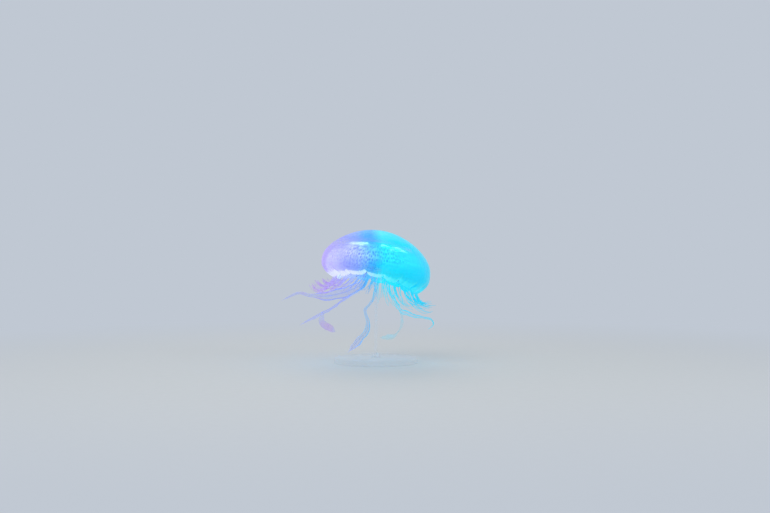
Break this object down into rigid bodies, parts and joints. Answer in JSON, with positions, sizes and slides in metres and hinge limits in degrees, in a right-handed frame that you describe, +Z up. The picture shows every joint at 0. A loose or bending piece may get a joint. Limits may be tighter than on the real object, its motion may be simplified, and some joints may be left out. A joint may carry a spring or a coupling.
{
  "type": "moon jellyfish, still life-size display model",
  "caption": "Life-size still model of a moon jelly swimming with its bell half closed, with fringe, gonads, stomach and trailing oral arms, held over a flat round base by one clear rod",
  "frame": {"origin": "Centre of the underside of the stand's base, on the surface that it stands on", "axes": "+Z is up. The viewer looks along +Y, with +X to the viewer's right. The bell's own axis leans 9 degrees from +Z towards +X and 4.5 degrees towards +Y"},
  "size_m": [0.3521, 0.2492, 0.3017],
  "materials": {
    "jelly": "wet, glassy translucent jelly, lavender on one side and aqua on the other",
    "margin": "wet, milky translucent rim and tentacles",
    "gonad": "soft, milky, folded",
    "manubrium": "wet, translucent",
    "oral_arm": "wet, translucent ribbon with frilled lips",
    "sense_organ": "small dark bead",
    "clear_acrylic": "polished clear acrylic"
  },
  "bodies": {
    "root": {"bell_dome": "jelly", "bell_lappet_1": "margin", "rhopalium_1": "sense_organ", "bell_lappet_2": "margin", "rhopalium_2": "sense_organ", "bell_lappet_3": "margin", "rhopalium_3": "sense_organ", "bell_lappet_4": "margin", "rhopalium_4": "sense_organ", "bell_lappet_5": "margin", "rhopalium_5": "sense_organ", "bell_lappet_6": "margin", "rhopalium_6": "sense_organ", "bell_lappet_7": "margin", "rhopalium_7": "sense_organ", "bell_lappet_8": "margin", "rhopalium_8": "sense_organ", "gonad_1": "gonad", "gonad_2": "gonad", "gonad_3": "gonad", "gonad_4": "gonad", "manubrium": "manubrium", "oral_arm_back_upper": "oral_arm", "oral_arm_back_middle": "oral_arm", "oral_arm_back_tip": "oral_arm", "oral_arm_left_upper": "oral_arm", "oral_arm_left_middle": "oral_arm", "oral_arm_left_tip": "oral_arm", "oral_arm_front_upper": "oral_arm", "oral_arm_front_middle": "oral_arm", "oral_arm_front_tip": "oral_arm", "oral_arm_right_upper": "oral_arm", "oral_arm_right_middle": "oral_arm", "oral_arm_right_tip": "oral_arm", "oral_arm_back_lip": "oral_arm", "oral_arm_right_lip": "oral_arm", "stand_base": "clear_acrylic", "stand_collar": "clear_acrylic", "stand_rod": "clear_acrylic"}
  },
  "joints": []
}
